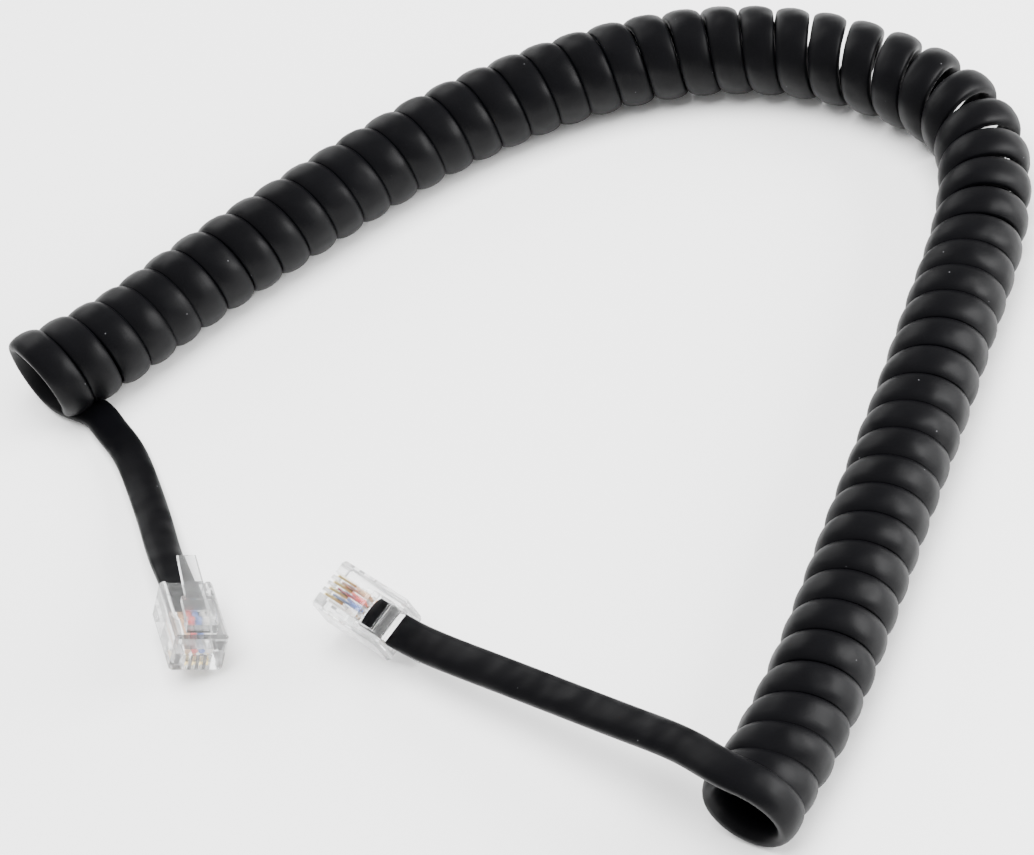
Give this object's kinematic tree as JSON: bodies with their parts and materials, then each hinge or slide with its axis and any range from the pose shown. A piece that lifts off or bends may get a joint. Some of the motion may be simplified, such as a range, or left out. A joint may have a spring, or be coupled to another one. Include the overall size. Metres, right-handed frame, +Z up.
{
  "type": "telephone handset cord",
  "caption": "Black curly telephone handset cord: a flat four-wire cord wound into a coil, with a short straight tail and a clear modular plug at each end.",
  "frame": {"origin": "middle of the bounding box on the table that the cord lies on", "axes": "+X to the right and +Y away from the viewer along the table, +Z up"},
  "size_m": [0.1495, 0.1555, 0.0134],
  "materials": {
    "jacket": "matte black PVC",
    "clear": "clear polycarbonate",
    "gold": "gold-plated",
    "tan": "tan wire insulation",
    "red": "red wire insulation",
    "blue": "blue wire insulation",
    "white": "white wire insulation"
  },
  "bodies": {
    "root": {"cord_coil": "jacket", "cord_tail_a": "jacket", "cord_tail_b": "jacket", "plug_a_housing": "clear", "plug_b_housing": "clear", "contact_a1": "gold", "contact_a2": "gold", "contact_a3": "gold", "contact_a4": "gold", "contact_b1": "gold", "contact_b2": "gold", "contact_b3": "gold", "contact_b4": "gold", "conductor_a_tan": "tan", "conductor_a_red": "red", "conductor_a_blue": "blue", "conductor_a_white": "white", "conductor_b_tan": "tan", "conductor_b_red": "red", "conductor_b_blue": "blue", "conductor_b_white": "white"}
  },
  "joints": []
}
